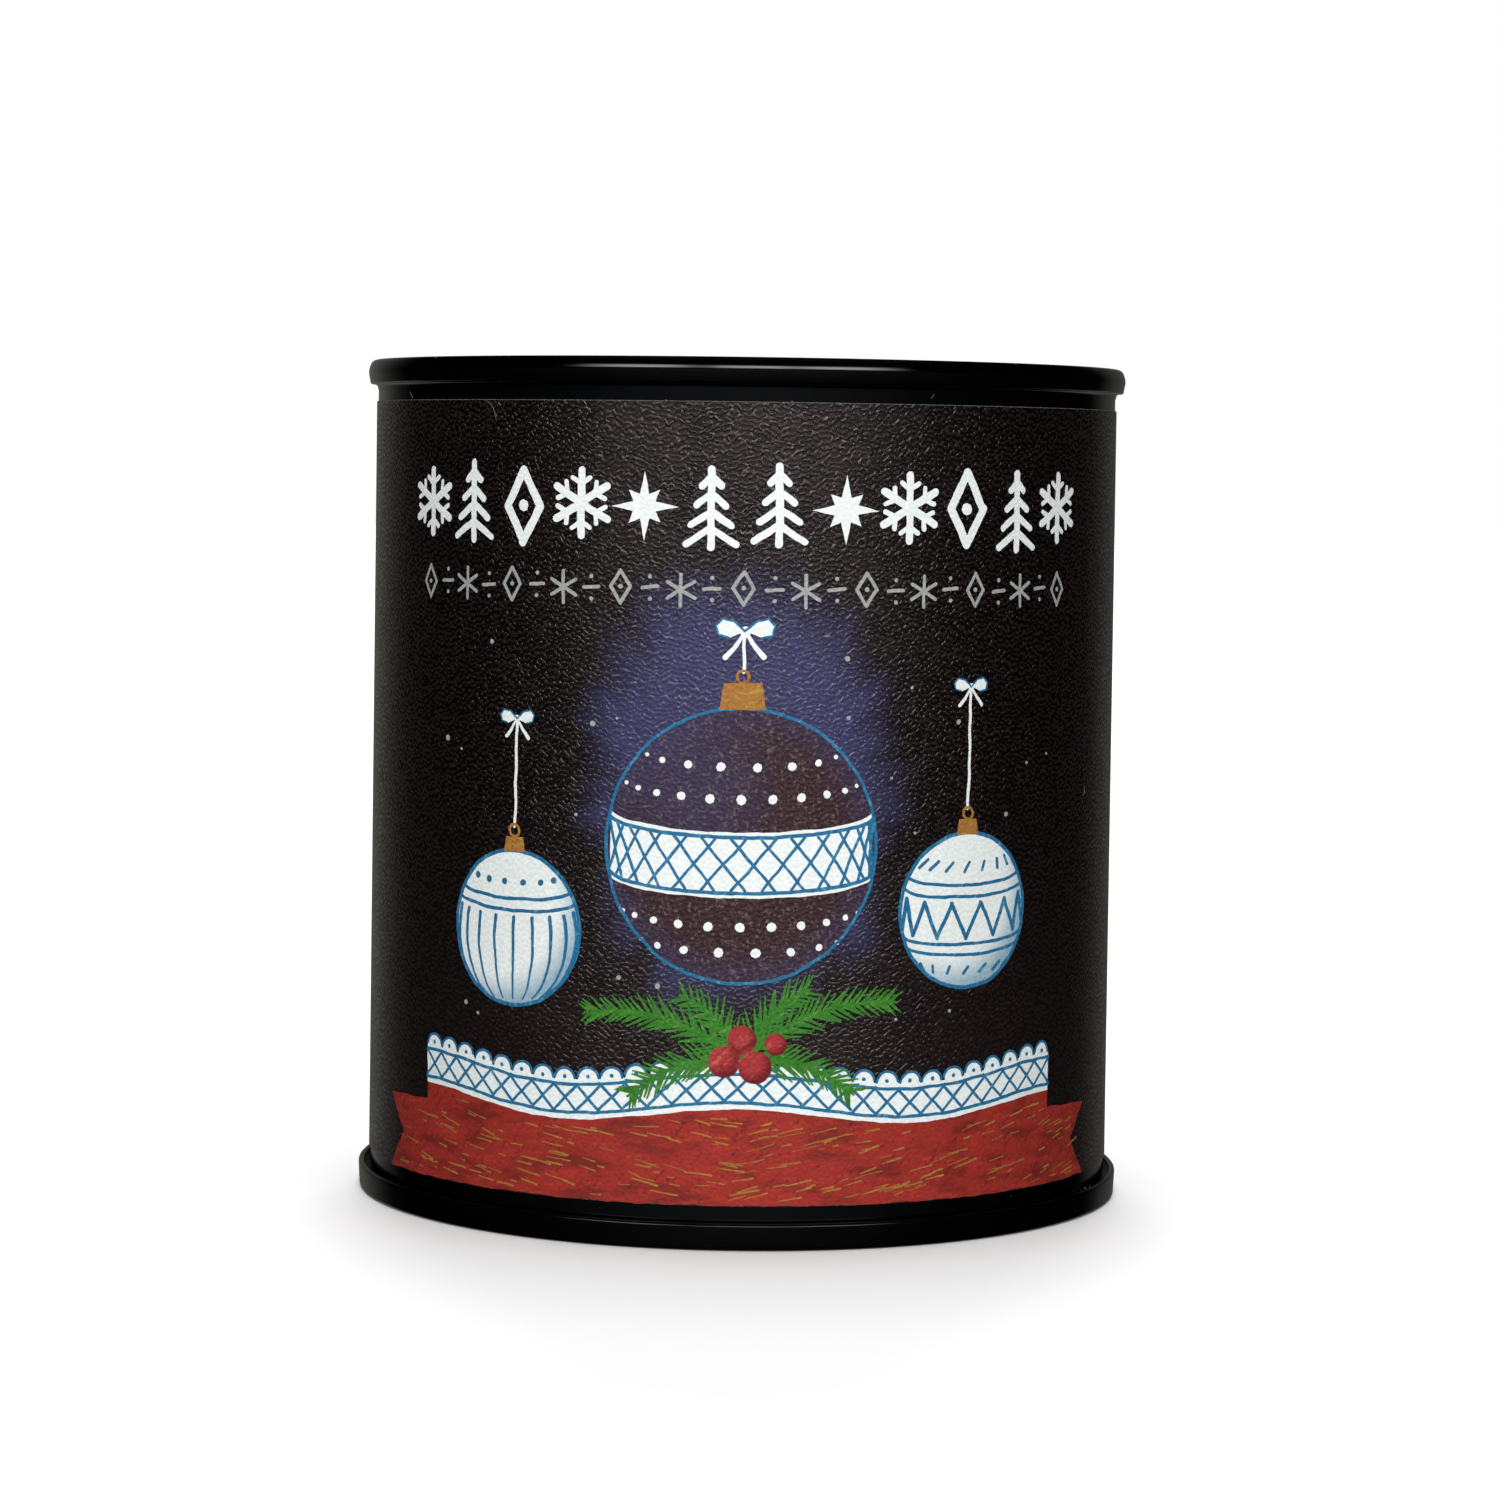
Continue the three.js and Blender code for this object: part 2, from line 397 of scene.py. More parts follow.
def label_sheet():
    """The dark satin sheet with its pressed grain, with painted shade in its valleys and painted
    light on its ridges, and the violet glow printed on it.
    """
    label = bpy.context.scene.tin_label
    mix, place = new_recipe("label_sheet")
    along, up = unrolled(mix, place)
    ridges, relief = pressed_grain(mix, place)
    mottle = mix.cloud(place, 3.2, 3.0, 0.6).between(0.35, 0.75)
    # Painted light and shade of the grain: this mask darkens the sheet's colour in the grain's
    # valleys and lightens it on the ridges.
    painted_grain_shade = ridges.between(0.05, 0.95) * (0.75 + mottle * 0.5)
    # Shares of the sheet's colour: painted shade in the valleys, painted light on the ridge tops,
    # and valleys near the foot, where the painted shade is lighter.
    shares = (0.3, 2.4, 1.3)
    valleys, lit_tops, low = (tuple(share * c for c in label.sheet_colour) for share in shares)
    valleys = mix.blend(up.between(45, 5), valleys, low)
    sheet = mix.blend(painted_grain_shade, valleys, lit_tops)
    centre = GLOW["centre"]
    reach = away_from(along, up, centre, GLOW["squash"])
    bearing = (up - centre[1]).math("ARCTAN2", along - centre[0])
    tongues = mix.cloud(mix.joined(bearing * 3.4, reach * 0.045, 4.0), 1.0, 2.0, 0.55)
    ragged = reach - (tongues - 0.5) * GLOW["rays"]
    strokes = pencil(mix, along, up, 78, 0.9, 3.0)
    glow = ragged.between(GLOW["outer"], GLOW["inner"]) * (0.5 + strokes * 0.75)
    glow = glow * (0.55 + mix.cloud(place, 0.5, 2.0, 0.7) * 0.9)
    base = mix.blend(glow, sheet, bpy.context.scene.tin_inks.violet)
    roughness = label.satin + mottle * 0.04 + mix.cloud(place, 11.0, 2.0) * 0.06
    slack = mix.cloud(mix.stretched(place, (1, 1, 0.45)), 16.0, 1.0) * 0.1
    relief = relief + slack
    film = ridges.between(0.3, 0.9)
    return mix.surface(base, roughness, relief, LABEL_IOR, film, (1.0, 0.84, 0.82))


def paper_core():
    """Cut edge of the label: pale pressed fibres."""
    mix, place = new_recipe("paper_core")
    fibre = mix.cloud(mix.stretched(place, (1, 1, 3)), 0.35, 3.0, 0.7)
    base = mix.blend(fibre.between(0.3, 0.7), (0.05, 0.047, 0.045), (0.17, 0.165, 0.16))
    return mix.surface(base, 0.75 + fibre * 0.15, fibre * 0.02, PAPER_IOR)


def ink(kind, crayon, seed):
    """A crayon-like ink on the grain: main, deep and light tones laid in strokes."""
    main = getattr(bpy.context.scene.tin_inks, kind)
    mix, place = new_recipe(f"ink_{kind}")
    along, up = unrolled(mix, place)
    strokes = pencil(mix, along, up, crayon.angle, 1.0, seed)
    crossing = pencil(mix, along, up, crayon.angle + 38, 1.25, seed + 7)
    tooth = mix.cloud(place, 0.32, 2.0, 0.7)
    pale = (strokes * 0.55 + tooth * 0.45).between(0.5, 0.66)
    dark = (crossing * 0.55 - tooth * 0.45).between(0.07, 0.23)
    base = mix.blend(pale * 0.85, main, crayon.light)
    base = mix.blend(dark * crayon.wear, base, crayon.deep)
    shade = shading(mix, kind, along, up)
    if shade is not None:
        mask, tone = shade
        base = mix.blend(mask * (0.45 + tooth * 0.8), base, tone)
    # Painted highlights: pale specks on the plum ink stand in for glints of gloss on the grain's
    # tips.
    if kind == "plum":
        base = mix.blend(tooth.between(0.55, 0.68) * 0.8, base, (0.15, 0.11, 0.115))
    ridges, relief = pressed_grain(mix, place)
    # Painted shade: each ink is darkened in the grain's valleys.
    base = mix.blend(ridges.between(0.55, 0.0) * 0.15, base, tuple(0.45 * c for c in main))
    roughness = 0.42 + strokes * 0.12
    return mix.surface(base, roughness, relief * crayon.grain + tooth * 0.03, INK_IOR)


def shading(mix, kind, along, up):
    """Shading of the baubles, the berries and the ribbon: a mask and the tone it brings in."""
    if kind == "plum":
        centre, radius = BAUBLES["middle"]
        lit = away_from(along, up, (centre[0] - 4.5, centre[1] + 5.5)) / radius
        rim = away_from(along, up, centre) / radius
        mask = lit.between(0.75, 0.15) * 0.55 + rim.between(0.72, 1.0) * 0.4
        return mask, bpy.context.scene.tin_inks.violet
    if kind == "white":
        masks = []
        for key in ("left", "right"):
            centre, radius = BAUBLES[key]
            low = away_from(along, up, (centre[0] - 1.8, centre[1] + 2.2)) / radius
            near = away_from(along, up, centre) / radius
            masks.append(low.between(0.85, 1.35) * near.between(1.08, 1.0))
        return masks[0] + masks[1], (0.15, 0.30, 0.42)
    if kind == "berry":
        lit = [away_from(along, up, (u - 0.25 * r, v + 0.3 * r)) / r for (u, v), r in BERRIES]
        nearest = lit[0]
        for other in lit[1:]:
            nearest = nearest.math("MINIMUM", other)
        return nearest.between(0.45, 1.25), (0.07, 0.002, 0.006)
    if kind == "red":
        folds = mix.cloud(mix.joined(along * 0.16, up * 0.5), 1.0, 3.0, 0.6)
        return folds.between(0.46, 0.66) * 0.75, (0.085, 0.013, 0.009)
    return None


def lint_fibre():
    """Pale textile fibre."""
    mix, place = new_recipe("lint_fibre")
    streak = mix.cloud(place, 0.3, 2.0)
    base = mix.blend(streak, (0.12, 0.118, 0.11), (0.3, 0.29, 0.27))
    return mix.surface(base, 0.6 + streak * 0.2, streak * 0.004, FIBRE_IOR)


# --- turned metal ---


def filleted(corners, closed):
    """Profile points from corners (radius, height, fillet), in millimetres."""
    points = []
    for i, (radius, height, fillet) in enumerate(corners):
        if fillet == 0 or not closed and i in (0, len(corners) - 1):
            points.append((radius, height))
            continue
        here = Vector((radius, height))
        back = (Vector(corners[i - 1][:2]) - here).normalized()
        ahead = (Vector(corners[(i + 1) % len(corners)][:2]) - here).normalized()
        half = back.angle(ahead) / 2
        start = here + back * (fillet / math.tan(half))
        middle = here + (back + ahead).normalized() * (fillet / sin(half))
        spoke = start - middle
        turn = pi - 2 * half
        if back.x * ahead.y - back.y * ahead.x > 0:
            turn = -turn
        steps = max(2, round(abs(turn) / radians(8)))
        swings = (Matrix.Rotation(turn * step / steps, 2) for step in range(steps + 1))
        points += [tuple(middle + swing @ spoke) for swing in swings]
    return points


def in_metres(radius, angle, height):
    """A point in metres from its radius and height in millimetres and its angle from +X."""
    return tuple(c * MM for c in (radius * cos(angle), radius * sin(angle), height))


def finish_mesh(name, mesh, materials, sharp_angle):
    """Shades a mesh smooth up to an angle, gives it its materials and puts it on the tin."""
    for material in materials:
        mesh.materials.append(material)
    mesh.polygons.foreach_set("use_smooth", [True] * len(mesh.polygons))
    mesh.set_sharp_from_angle(angle=radians(sharp_angle))
    piece = bpy.data.objects.new(name, mesh)
    bpy.context.scene.collection.objects.link(piece)
    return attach(piece, "root") or piece


def piece_of(name, points, faces, materials, sharp_angle=35):
    """A piece of points in metres and faces."""
    mesh = bpy.data.meshes.new(name)
    mesh.from_pydata(points, [], faces)
    mesh.validate()
    return finish_mesh(name, mesh, materials, sharp_angle)


def turned(name, corners, closed=False, waver=None, lacquer=("black_lacquer", LACQUER_IOR)):
    """Spins a profile of corners (radius, height, fillet) round the tin's axis.

    The function waver(angle, radius, height) shifts each point outwards and upwards.
    """
    columns = bpy.context.scene.tin_metal.columns
    points, rings = [], []
    for radius, height in filleted(corners, closed):
        ring = []
        for column in range(columns if radius > 1e-6 else 1):
            angle = 2 * pi * column / columns
            outward, upward = waver(angle, radius, height) if waver else (0, 0)
            ring.append(len(points))
            points.append(in_metres(radius + outward, angle, height + upward))
        rings.append(ring)
    faces = []
    for low, high in zip(rings, rings[1:] + rings[:1] * closed):
        for i in range(columns):
            j = (i + 1) % columns
            if len(low) == 1:
                faces.append((low[0], high[j], high[i]))
            elif len(high) == 1:
                faces.append((low[i], low[j], high[0]))
            else:
                faces.append((low[i], low[j], high[j], high[i]))
    return piece_of(name, points, faces, [black_lacquer(*lacquer)])


def wander(angle, scale, seed):
    """Smooth noise from -1 to 1 that closes on itself round the tin."""
    return noise.noise(Vector((cos(angle) * scale, sin(angle) * scale, seed)))


class TIN_OT_body(bpy.types.Operator):
    """Makes the tin's wall with its skirts in both seams"""

    bl_idname = "tin.body"
    bl_label = "Body"

    def execute(self, context):
        metal = context.scene.tin_metal
        wall = metal.body_radius / MM
        skirt = CHUCK_RADIUS + SHEET + FIT_GAP
        skirt_top = TOTAL_HEIGHT - metal.top_seam_height / MM + CLINCH - FIT_GAP
        skirt_foot = metal.bottom_seam_height / MM - CLINCH + FIT_GAP
        under_ring = CHANNEL_FLOOR - SHEET - FIT_GAP
        under_lid = LID_PANEL - SHEET - FIT_GAP
        floor = COUNTERSINK + SHEET + FIT_GAP
        corners = [
            (0, floor, 0),
            (skirt, floor, 0),
            (skirt, skirt_foot, 0),
            (wall, skirt_foot, 0),
            (wall, skirt_top, 0),
            (skirt, skirt_top, 0),
            (skirt, under_ring, 0),
            (CHANNEL_INNER, under_ring, 0),
            (CHANNEL_INNER, under_lid, 0),
            (0, under_lid, 0),
        ]
        piece = turned("body", corners)
        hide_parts("tin_body")
        return {"FINISHED"}


class TIN_OT_top_ring(bpy.types.Operator):
    """Makes the rolled top seam, the wall inside it and the channel's floor"""

    bl_idname = "tin.top_ring"
    bl_label = "Top ring"

    def execute(self, context):
        metal = context.scene.tin_metal
        outer = metal.top_seam_radius / MM
        wall = metal.body_radius / MM + FIT_GAP
        seam_foot = TOTAL_HEIGHT - metal.top_seam_height / MM
        skirt_top = seam_foot + CLINCH
        waver = metal.waver / MM
        corners = [
            (CHANNEL_INNER, CHANNEL_FLOOR - SHEET, 0.05),
            (CHUCK_RADIUS + SHEET, CHANNEL_FLOOR - SHEET, 0),
            (CHUCK_RADIUS + SHEET, skirt_top, 0),
            (wall, skirt_top, 0),
            (wall, seam_foot - 0.53, 0),
            (wall + 0.03, seam_foot - 0.52, 0),
            (wall + 0.05, seam_foot, 0.47),
            (outer - 0.19, seam_foot + 0.02, 0.1),
            (outer + 0.05, TOTAL_HEIGHT - 1.06, 1.5),
            (outer - 0.336, TOTAL_HEIGHT, 0.65),
            (CHUCK_RADIUS, TOTAL_HEIGHT, 0.56),
            (CHUCK_RADIUS, CHANNEL_FLOOR, 0.5),
            (CHANNEL_INNER, CHANNEL_FLOOR, 0.05),
        ]

        def uneven(angle, radius, height):
            """Waver of the rolled lower edge, and a little of it at the crown."""
            edge = max(0.0, 1 - abs(height - seam_foot) / 0.45) if radius > wall + 0.4 else 0.0
            crown = 0.25 if height > seam_foot + 1 and radius > CHUCK_RADIUS + 0.3 else 0.0
            lift = wander(angle, 9, 3) * 0.7 + wander(angle, 24, 8) * 0.3
            return -abs(wander(angle, 5, 1)) * waver * (edge + crown), lift * waver * edge

        piece = turned("top_seam", corners, closed=True, waver=uneven)
        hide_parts("top_ring")
        return {"FINISHED"}


class TIN_OT_lid(bpy.types.Operator):
    """Makes the pressed lever lid with its rolled rim and its stiffening bead"""

    bl_idname = "tin.lid"
    bl_label = "Lid"

    def execute(self, context):
        rim_foot = CHANNEL_FLOOR + FIT_GAP
        corners = [
            (0, LID_PANEL - SHEET, 0),
            (LID_PLUG, LID_PANEL - SHEET, 0.55),
            (LID_PLUG, rim_foot, 0),
            (LID_RIM, rim_foot, 0.5),
            (LID_RIM, LID_CROWN, 1.0),
            (LID_PLUG - 0.25, LID_CROWN, 1.0),
            (LID_PLUG - 0.25, LID_PANEL, 0.55),
            (26.2, LID_PANEL, 0.35),
            (25.72, LID_PANEL + 0.45, 0.35),
            (24.28, LID_PANEL + 0.45, 0.35),
            (23.8, LID_PANEL, 0.35),
            (12.9, LID_PANEL, 0.5),
            (12.4, LID_PANEL + 0.16, 0.5),
            (0, LID_PANEL + 0.16, 0),
        ]
        piece = turned("lid", corners)
        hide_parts("lever_lid")
        return {"FINISHED"}


class TIN_OT_bottom_end(bpy.types.Operator):
    """Makes the sunk bottom panel and the bottom seam with its open lip"""

    bl_idname = "tin.bottom_end"
    bl_label = "Bottom end"

    def execute(self, context):
        metal = context.scene.tin_metal
        outer = metal.bottom_seam_radius / MM
        wall = metal.body_radius / MM + FIT_GAP
        top = metal.bottom_seam_height / MM
        lip = outer - 0.55
        panel = PANEL_RECESS + PANEL_STEP
        step_in, step_out, rise, sunk = PANEL_RADII
        inside = COUNTERSINK + SHEET
        waver = metal.waver / MM
        corners = [
            (0, PANEL_RECESS, 0),
            (step_in, PANEL_RECESS, 0.6),
            (step_out, panel, 0.6),
            (rise, panel, 0.5),
            (sunk, COUNTERSINK, 0.12),
            (CHUCK_RADIUS, COUNTERSINK, 0.6),
            (CHUCK_RADIUS, 0, 0.3),
            (outer - 0.1, 0, 0.3),
            (outer, top - 0.4, 0.9),
            (outer, top, 0.27),
            (lip, top, 0.26),
            (lip - 0.06, top - LIP_DEPTH, 0),
            (wall, top - LIP_DEPTH, 0),
            (wall, top - CLINCH, 0),
            (CHUCK_RADIUS + SHEET, top - CLINCH, 0),
            (CHUCK_RADIUS + SHEET, inside, 0.5),
            (sunk - SHEET, inside, 0),
            (rise - SHEET, panel + SHEET, 0),
            (step_out - SHEET, panel + SHEET, 0),
            (step_in - SHEET, PANEL_RECESS + SHEET, 0),
            (0, PANEL_RECESS + SHEET, 0),
        ]

        def uneven(angle, radius, height):
            """Waver of the lip, which only goes inwards and down."""
            edge = max(0.0, 1 - abs(height - top) / 0.7) if radius > lip - 0.3 else 0.0
            sink = abs(wander(angle, 6, 21)) * 1.1 + abs(wander(angle, 22, 5)) * 0.5
            sway = min(wander(angle, 4, 11), 0.0) * 2.4
            return sway * waver * edge, -sink * waver * edge

        dull = ("seam_lacquer", DULL_LACQUER_IOR)
        piece = turned("bottom_seam", corners, waver=uneven, lacquer=dull)
        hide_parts("bottom_end")
        return {"FINISHED"}


# --- label ---


class TIN_OT_label(bpy.types.Operator):
    """Wraps the label sheet round the body, with its end lapped over its start at the back"""

    bl_idname = "tin.label"
    bl_label = "Label sheet"

    def execute(self, context):
        label = context.scene.tin_label
        outer = label.radius / MM
        thickness = label.thickness / MM
        bottom, top = label.bottom / MM, label.top / MM
        inner = outer - thickness
        half = LAP_WIDTH / 2 / outer
        ramp = LAP_RAMP / outer
        back = pi / 2
        cut = LAP_CUT / outer
        columns = context.scene.tin_metal.columns
        angles = [back + half + cut + i * (2 * pi - cut) / columns for i in range(columns)]
        angles.append(back + half + 2 * pi - 1e-6)

        def sheet_radius(angle):
            """Outside of the sheet, which climbs over its own start at the lap."""
            turn = (angle - back + pi) % (2 * pi) - pi
            if turn > half + cut / 2 or turn < -half:
                return outer
            rise = min(1.0, (turn + half) / ramp)
            return outer + thickness * rise * rise * (3 - 2 * rise)

        chamfer = LABEL_CHAMFER
        points, faces, slots = [], [], []
        for angle in angles:
            radius = sheet_radius(angle)
            section = (
                (inner, bottom),
                (radius - chamfer / 2, bottom),
                (radius, bottom + chamfer / 2),
                (radius, top - chamfer),
                (radius - chamfer, top),
                (inner, top),
            )
            points += [in_metres(r, angle, h) for r, h in section]
        size = len(section)
        printed_side = 2
        for i in range(len(angles)):
            j = (i + 1) % len(angles)
            for k in range(size):
                m = (k + 1) % size
                faces.append((i * size + k, j * size + k, j * size + m, i * size + m))
                slots.append(0 if k == printed_side and j else 1)
        piece = piece_of("label_sheet", points, faces, [label_sheet(), paper_core()], 30)
        piece.data.polygons.foreach_set("material_index", slots)
        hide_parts("label")
        return {"FINISHED"}


# --- print ---

# The print lies on the unrolled label: (along, up) in millimetres, along from the middle of the
# front towards the right, up from the sheet's lower edge. What is drawn on a bauble is placed by
# longitude and latitude in degrees. Widths of strokes are in millimetres.
BAUBLES = {
    "middle": ((0.0, 33.0), 12.6),
    "left": ((-22.3, 24.6), 7.2),
    "right": ((22.3, 26.8), 7.2),
}
# Each bauble's string: the height of its top, and the size of the bow there.
STRINGS = (("middle", 52.6, 1.9), ("left", 44.0, 1.35), ("right", 47.5, 1.35))
BOW = (  # a loop and a tail, for a bow of size 1
    ((0, 0), (0.55, 0.5), (1.1, 0.62), (1.42, 0.28), (1.3, -0.18), (0.8, -0.3), (0.3, -0.12)),
    ((0, 0), (0.5, -0.75), (0.95, -1.25)),
)
GLOW = {"centre": (0.0, 38.0), "squash": (1.0, 0.7), "inner": 10.0, "outer": 16.5, "rays": 9.0}
BERRIES = (((-1.25, 13.3), 1.45), ((1.6, 12.8), 1.5), ((0.35, 15.3), 1.35), ((3.4, 14.9), 1.05))
ORNAMENTS = {"middle_height": 63.9, "first": -34.1, "pitch": 6.2, "stroke": 0.9}
SMALL_ROW = {"middle_height": 56.4, "first": -34.4, "pitch": 2.86, "stroke": 0.32}
SPRIGS = {
    "heart": (0.3, 13.2),
    "tips": ((-14.5, 17.3), (14.8, 18.6), (-10.2, 9.8), (10.8, 10.2), (-5.4, 19.3), (6.6, 20.0)),
    "pieces": 14,  # straight pieces of a bent stem
}
SNOW_DOTS = 46
DASHES = 230
RIBBON = {"left": -34.0, "right": 34.0, "foot": 0.05, "top": 8.4, "dip": 0.8}
LACE = {"sunk": 0.25, "width": 3.4, "pitch": 2.35}
COLUMN = 0.9  # widest flat step of a shape across the curve of the tin
INK_THICKNESS = 0.012
LAYER = 0.0012  # rise from one shape of an ink to the next
LAYERS = 14  # shapes of one ink before their heights start again
SEEDS = {"hand": 3, "dashes": 12, "sprigs": 5}

# Each ink: its share of the hand's waver, its height over the sheet, how much of the leather
# grain shows in it, the angle and wear of its strokes, and its deep and light tones.
Crayon = namedtuple("Crayon", "waver lift grain angle wear deep light")
CRAYONS = {
    "white": Crayon(1.0, 0.05, 0.25, 84, 0.25, (0.50, 0.64, 0.69), (0.90, 0.91, 0.885)),
    "silver": Crayon(0.7, 0.03, 0.4, 80, 0.5, (0.12, 0.12, 0.12), (0.42, 0.43, 0.42)),
    "blue": Crayon(0.9, 0.075, 0.4, 70, 0.55, (0.008, 0.05, 0.12), (0.10, 0.30, 0.44)),
    "plum": Crayon(1.0, 0.028, 0.7, 62, 0.75, (0.008, 0.005, 0.008), (0.055, 0.024, 0.022)),
    "red": Crayon(1.3, 0.028, 0.4, 8, 0.9, (0.075, 0.013, 0.010), (0.42, 0.040, 0.026)),
    "gold": Crayon(0.9, 0.09, 0.4, 8, 0.8, (0.16, 0.05, 0.014), (0.44, 0.27, 0.05)),
    "green": Crayon(0.8, 0.11, 0.4, 30, 0.7, (0.010, 0.055, 0.008), (0.10, 0.29, 0.04)),
    "berry": Crayon(0.7, 0.14, 0.4, 45, 0.6, (0.12, 0.006, 0.010), (0.52, 0.13, 0.12)),
}


def resampled(points, step, closed=False):
    """The same path with points no further apart than a step."""
    ends = points[1:] + points[:1] if closed else points[1:]
    path = []
    for start, end in zip(points, ends):
        count = max(1, math.ceil(math.dist(start, end) / step))
        for i in range(count):
            share = i / count
            path.append(tuple(a + (b - a) * share for a, b in zip(start, end)))
    if not closed:
        path.append(tuple(points[-1]))
    return path


def on_circle(centre, radius, turns):
    """Points of a circle at the given turns."""
    return [(centre[0] + radius * cos(t), centre[1] + radius * sin(t)) for t in turns]


class Ink:
    """Shapes of one ink, drawn flat and then wrapped round the tin as a thin closed film."""

    def __init__(self, crayon):
        self.lift = crayon.lift
        self.flat = bmesh.new()
        self.waver = bpy.context.scene.tin_inks.waver / MM * crayon.waver
        self.count = 0

    def by_hand(self, along, up):
        """Where an unsteady hand puts a point."""
        sway = noise.noise_vector(Vector((along * 0.5, up * 0.5, self.count * 3.7)))
        shake = noise.noise_vector(Vector((along * 1.9, up * 1.9, self.count * 5.1)))
        return tuple(c + self.waver * (a + 0.4 * b) for c, a, b in zip((along, up), sway, shake))

    def area(self, outline):
        """A filled shape inside a closed outline."""
        points = [self.by_hand(*p) for p in resampled(outline, 0.35, closed=True)]
        turn = sum(a[0] * b[1] - b[0] * a[1] for a, b in zip(points, points[1:] + points[:1]))
        if turn < 0:
            points.reverse()
        height = self.lift + LAYER * (self.count % LAYERS)
        self.flat.faces.new([self.flat.verts.new((*p, height)) for p in points])
        self.count += 1

    def line(self, points, width, ends=(1.0, 1.0)):
        """A stroke with round ends; ends gives its width at each end as a share."""
        path = resampled(points, 0.3)
        left, right = [], []
        for i, here in enumerate(path):
            before, after = path[max(i - 1, 0)], path[min(i + 1, len(path) - 1)]
            run = Vector((after[0] - before[0], after[1] - before[1])).normalized()
            share = i / (len(path) - 1)
            half = width / 2 * (ends[0] + (ends[1] - ends[0]) * share)
            left.append((here[0] - run.y * half, here[1] + run.x * half))
            right.append((here[0] + run.y * half, here[1] - run.x * half))
        self.area(left + self.cap(path[-2], path[-1], width / 2 * ends[1]) + right[::-1]
                  + self.cap(path[1], path[0], width / 2 * ends[0]))

    @staticmethod
    def cap(before, end, radius):
        """Inner points of the half circle that rounds a stroke's end."""
        heading = math.atan2(end[1] - before[1], end[0] - before[0])
        return on_circle(end, radius, [heading + radians(a) for a in (55, 18, -18, -55)])

    def disc(self, centre, radius):
        """A filled circle."""
        count = max(8, round(radius * 14))
        self.area(on_circle(centre, radius, [2 * pi * i / count for i in range(count)]))

    def ring(self, centre, radius, width):
        """A circle drawn in two strokes that overlap a little."""
        for first in (-0.1, pi - 0.1):
            turns = [first + (pi + 0.2) * i / 24 for i in range(25)]
            self.line(on_circle(centre, radius, turns), width)

    def whole(self):
        """All vertices, edges and faces of the flat shapes."""
        return self.flat.verts[:] + self.flat.edges[:] + self.flat.faces[:]

    def wrapped(self, name, material):
        """Cuts the flat shapes into columns, gives them thickness and bends them round the tin."""
        flat = self.flat
        label = bpy.context.scene.tin_label
        radius, foot = label.radius / MM, label.bottom / MM
        edges = [v.co.x for v in flat.verts]
        for column in range(math.floor(min(edges) / COLUMN), math.ceil(max(edges) / COLUMN) + 1):
            cut = {"plane_co": (column * COLUMN, 0, 0), "plane_no": (1, 0, 0)}
            bmesh.ops.bisect_plane(flat, geom=self.whole(), **cut)
        bmesh.ops.triangulate(flat, faces=flat.faces[:])
        film = bmesh.ops.extrude_face_region(flat, geom=self.whole(), use_keep_orig=True)
        lower = [v for v in film["geom"] if isinstance(v, bmesh.types.BMVert)]
        bmesh.ops.translate(flat, verts=lower, vec=(0, 0, -INK_THICKNESS))
        bmesh.ops.recalc_face_normals(flat, faces=flat.faces[:])
        for vert in flat.verts:
            along, up, lift = vert.co
            angle, reach = along / radius, radius + lift
            vert.co = Vector((reach * sin(angle), -reach * cos(angle), foot + up)) * MM
        mesh = bpy.data.meshes.new(name)
        flat.to_mesh(mesh)
        flat.free()
        finish_mesh(name, mesh, [material], 30)


def snowflake(pen, centre, reach, stroke, barbs=True):
    """Six arms through a middle, with short barbs near their ends."""
    middle = Vector(centre)
    for arm in range(6):
        turn = radians(30 + 60 * arm)
        heading = Vector((cos(turn), sin(turn)))
        if arm < 3:
            pen.line([middle - heading * reach, middle + heading * reach], stroke)
        if barbs:
            fork = middle + heading * reach * 0.56
            for side in (-1, 1):
                barb = Matrix.Rotation(side * radians(55), 2) @ heading * reach * 0.36
                pen.line([fork, fork + barb], stroke * 0.62)


def fir(pen, centre, height, stroke):
    """A fir tree of a trunk and four drooping boughs."""
    u, v = centre
    pen.line([(u, v - height / 2), (u, v + height / 2)], stroke * 0.8)
    for step, reach in enumerate((0.85, 1.35, 1.85, 2.3)):
        start = v + height * (0.4 - 0.22 * step)
        drop = 0.5 + reach * 0.42
        pen.line([(u - reach, start - drop), (u, start), (u + reach, start - drop)], stroke * 0.72)


def diamond(pen, centre, width, height, stroke):
    """A lozenge in outline with a dot in its middle."""
    u, v = centre
    corners = [(u, v + height / 2), (u + width / 2, v), (u, v - height / 2), (u - width / 2, v)]
    for start, end in zip(corners, corners[1:] + corners[:1]):
        pen.line([start, end], stroke)
    pen.disc(centre, stroke * 0.72)


def star(pen, centre, reach, inner):
    """A filled star with eight points, every other one short."""
    outline = []
    for i in range(16):
        turn = pi / 2 + pi * i / 8
        size = inner if i % 2 else (reach if i % 4 == 0 else reach * 0.66)
        outline += on_circle(centre, size, [turn])
    pen.area(outline)


def on_ball(bauble, longitude, latitude):
    """A point on a bauble that is seen a little from below."""
    (u, v), radius = BAUBLES[bauble]
    turn, tilt = radians(longitude), radians(latitude)
    sag = 0.16 * cos(turn) * cos(tilt)
    return u + radius * sin(turn) * cos(tilt), v + radius * (sin(tilt) * 0.985 - sag)


def round_ball(bauble, latitude):
    """A ring round a bauble, as the arc that shows."""
    return [on_ball(bauble, -84 + 168 * i / 30, latitude) for i in range(31)]


def hoops(pen, bauble, latitudes, width):
    """Rings round a bauble."""
    for latitude in latitudes:
        pen.line(round_ball(bauble, latitude), width)


def ribbon_top(along):
    """Height of the ribbon's upper edge, which hangs in shallow waves."""
    return RIBBON["top"] + RIBBON["dip"] * cos(along * pi / 17.0)


